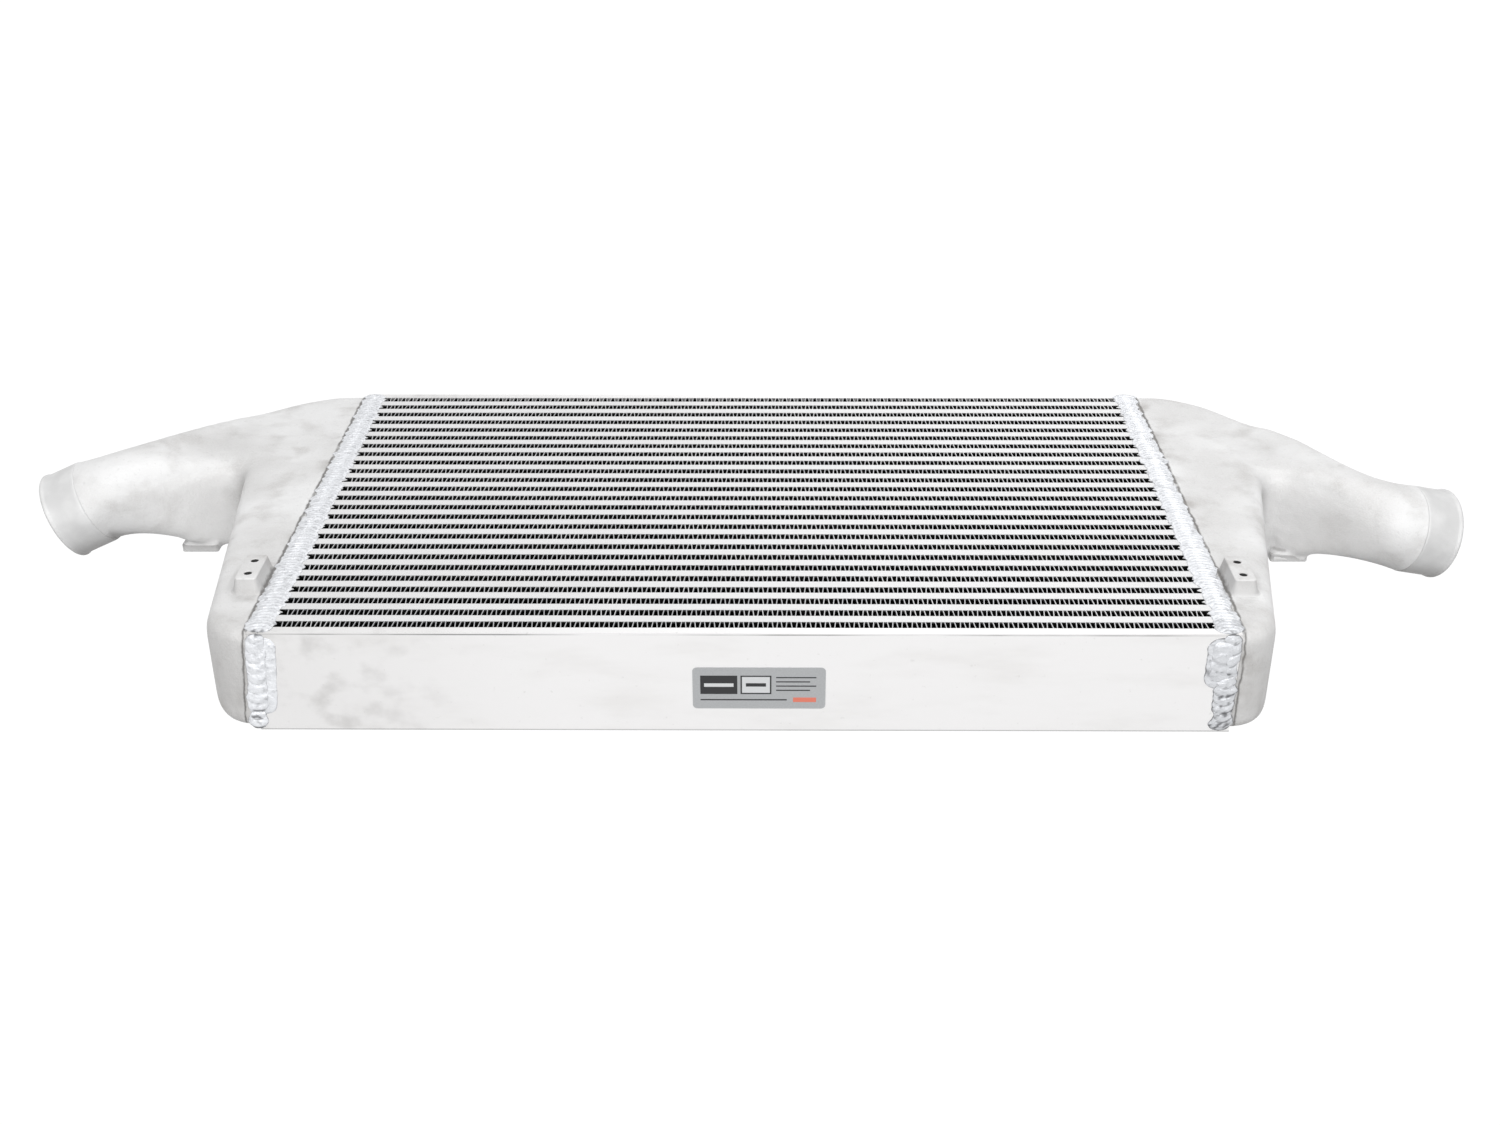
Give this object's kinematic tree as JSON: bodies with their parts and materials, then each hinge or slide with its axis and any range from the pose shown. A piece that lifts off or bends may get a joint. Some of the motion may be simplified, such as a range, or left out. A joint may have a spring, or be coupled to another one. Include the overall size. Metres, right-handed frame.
{
  "type": "intercooler",
  "caption": "Front-mounted air-to-air intercooler with a bar-and-plate core, two cast end tanks and round hose outlets at the sides.",
  "frame": {"origin": "centre of the back face of the charge tube next behind the middle of the core; the part lies on this face", "axes": "+X to the right along the charge air, +Y from the front side plate to the back one across the layers, +Z out of the upper core face against the cooling air"},
  "size_m": [1.0618, 0.3982, 0.0877],
  "materials": {
    "cast_aluminium": "sand cast",
    "plate_aluminium": "mill",
    "fin_aluminium": "mill",
    "bar_aluminium": "brazed",
    "weld_aluminium": "as welded",
    "label": "printed"
  },
  "bodies": {
    "root": {"end_tank_right": "cast_aluminium", "end_tank_left": "cast_aluminium", "side_plate_front": "plate_aluminium", "side_plate_back": "plate_aluminium", "fin_row_01": "fin_aluminium", "fin_row_02": "fin_aluminium", "fin_row_03": "fin_aluminium", "fin_row_04": "fin_aluminium", "fin_row_05": "fin_aluminium", "fin_row_06": "fin_aluminium", "fin_row_07": "fin_aluminium", "fin_row_08": "fin_aluminium", "fin_row_09": "fin_aluminium", "fin_row_10": "fin_aluminium", "fin_row_11": "fin_aluminium", "fin_row_12": "fin_aluminium", "fin_row_13": "fin_aluminium", "fin_row_14": "fin_aluminium", "fin_row_15": "fin_aluminium", "fin_row_16": "fin_aluminium", "fin_row_17": "fin_aluminium", "fin_row_18": "fin_aluminium", "fin_row_19": "fin_aluminium", "fin_row_20": "fin_aluminium", "fin_row_21": "fin_aluminium", "fin_row_22": "fin_aluminium", "fin_row_23": "fin_aluminium", "fin_row_24": "fin_aluminium", "fin_row_25": "fin_aluminium", "charge_tube_01": "bar_aluminium", "charge_tube_02": "bar_aluminium", "charge_tube_03": "bar_aluminium", "charge_tube_04": "bar_aluminium", "charge_tube_05": "bar_aluminium", "charge_tube_06": "bar_aluminium", "charge_tube_07": "bar_aluminium", "charge_tube_08": "bar_aluminium", "charge_tube_09": "bar_aluminium", "charge_tube_10": "bar_aluminium", "charge_tube_11": "bar_aluminium", "charge_tube_12": "bar_aluminium", "charge_tube_13": "bar_aluminium", "charge_tube_14": "bar_aluminium", "charge_tube_15": "bar_aluminium", "charge_tube_16": "bar_aluminium", "charge_tube_17": "bar_aluminium", "charge_tube_18": "bar_aluminium", "charge_tube_19": "bar_aluminium", "charge_tube_20": "bar_aluminium", "charge_tube_21": "bar_aluminium", "charge_tube_22": "bar_aluminium", "charge_tube_23": "bar_aluminium", "charge_tube_24": "bar_aluminium", "turbulators": "fin_aluminium", "closing_bars_right": "bar_aluminium", "closing_bars_left": "bar_aluminium", "weld_bead_right": "weld_aluminium", "weld_bead_left": "weld_aluminium", "label_plate": "label"}
  },
  "joints": []
}
